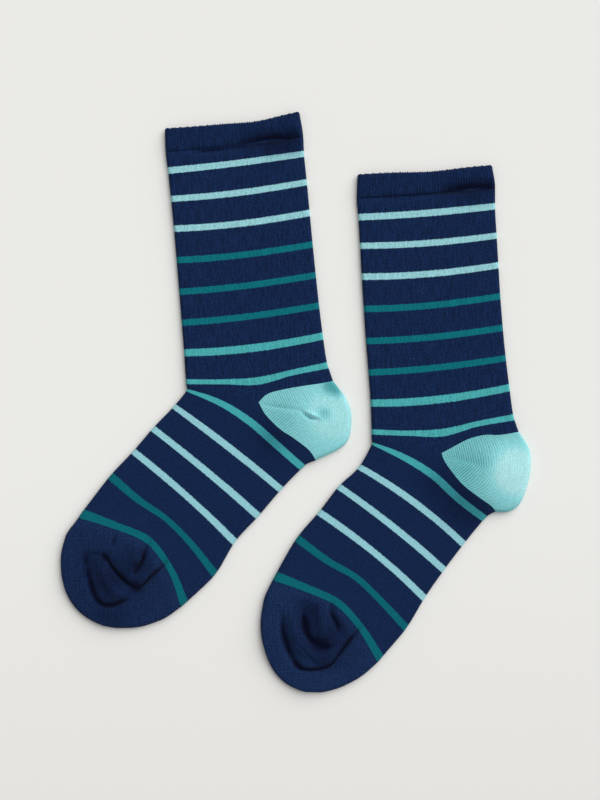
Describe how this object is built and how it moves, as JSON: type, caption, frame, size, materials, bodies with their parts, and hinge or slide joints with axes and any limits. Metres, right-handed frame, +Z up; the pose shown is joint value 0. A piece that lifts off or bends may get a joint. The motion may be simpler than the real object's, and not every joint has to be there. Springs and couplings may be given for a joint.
{
  "type": "pair of crew socks laid flat",
  "caption": "Pair of striped knitted crew socks lying flat side by side, with ribbed cuffs, turned heel pockets and rounded toes, worn on the feet",
  "frame": {"origin": "Middle of the pair's footprint, on the surface that both socks lie on, inside the left sock's heel.", "axes": "+X across the two legs, from the left sock to the right one. +Y up the legs, from the toes to the cuffs. +Z up, away from the surface."},
  "size_m": [0.3004, 0.3709, 0.0062],
  "materials": {
    "navy_rib": "matte",
    "striped_knit": "matte",
    "aqua_heel": "matte",
    "navy_toe": "matte"
  },
  "bodies": {
    "root": {"left_cuff": "navy_rib", "left_leg": "striped_knit", "left_heel": "aqua_heel", "left_foot": "striped_knit", "left_toe": "navy_toe", "right_cuff": "navy_rib", "right_leg": "striped_knit", "right_heel": "aqua_heel", "right_foot": "striped_knit", "right_toe": "navy_toe"}
  },
  "joints": []
}
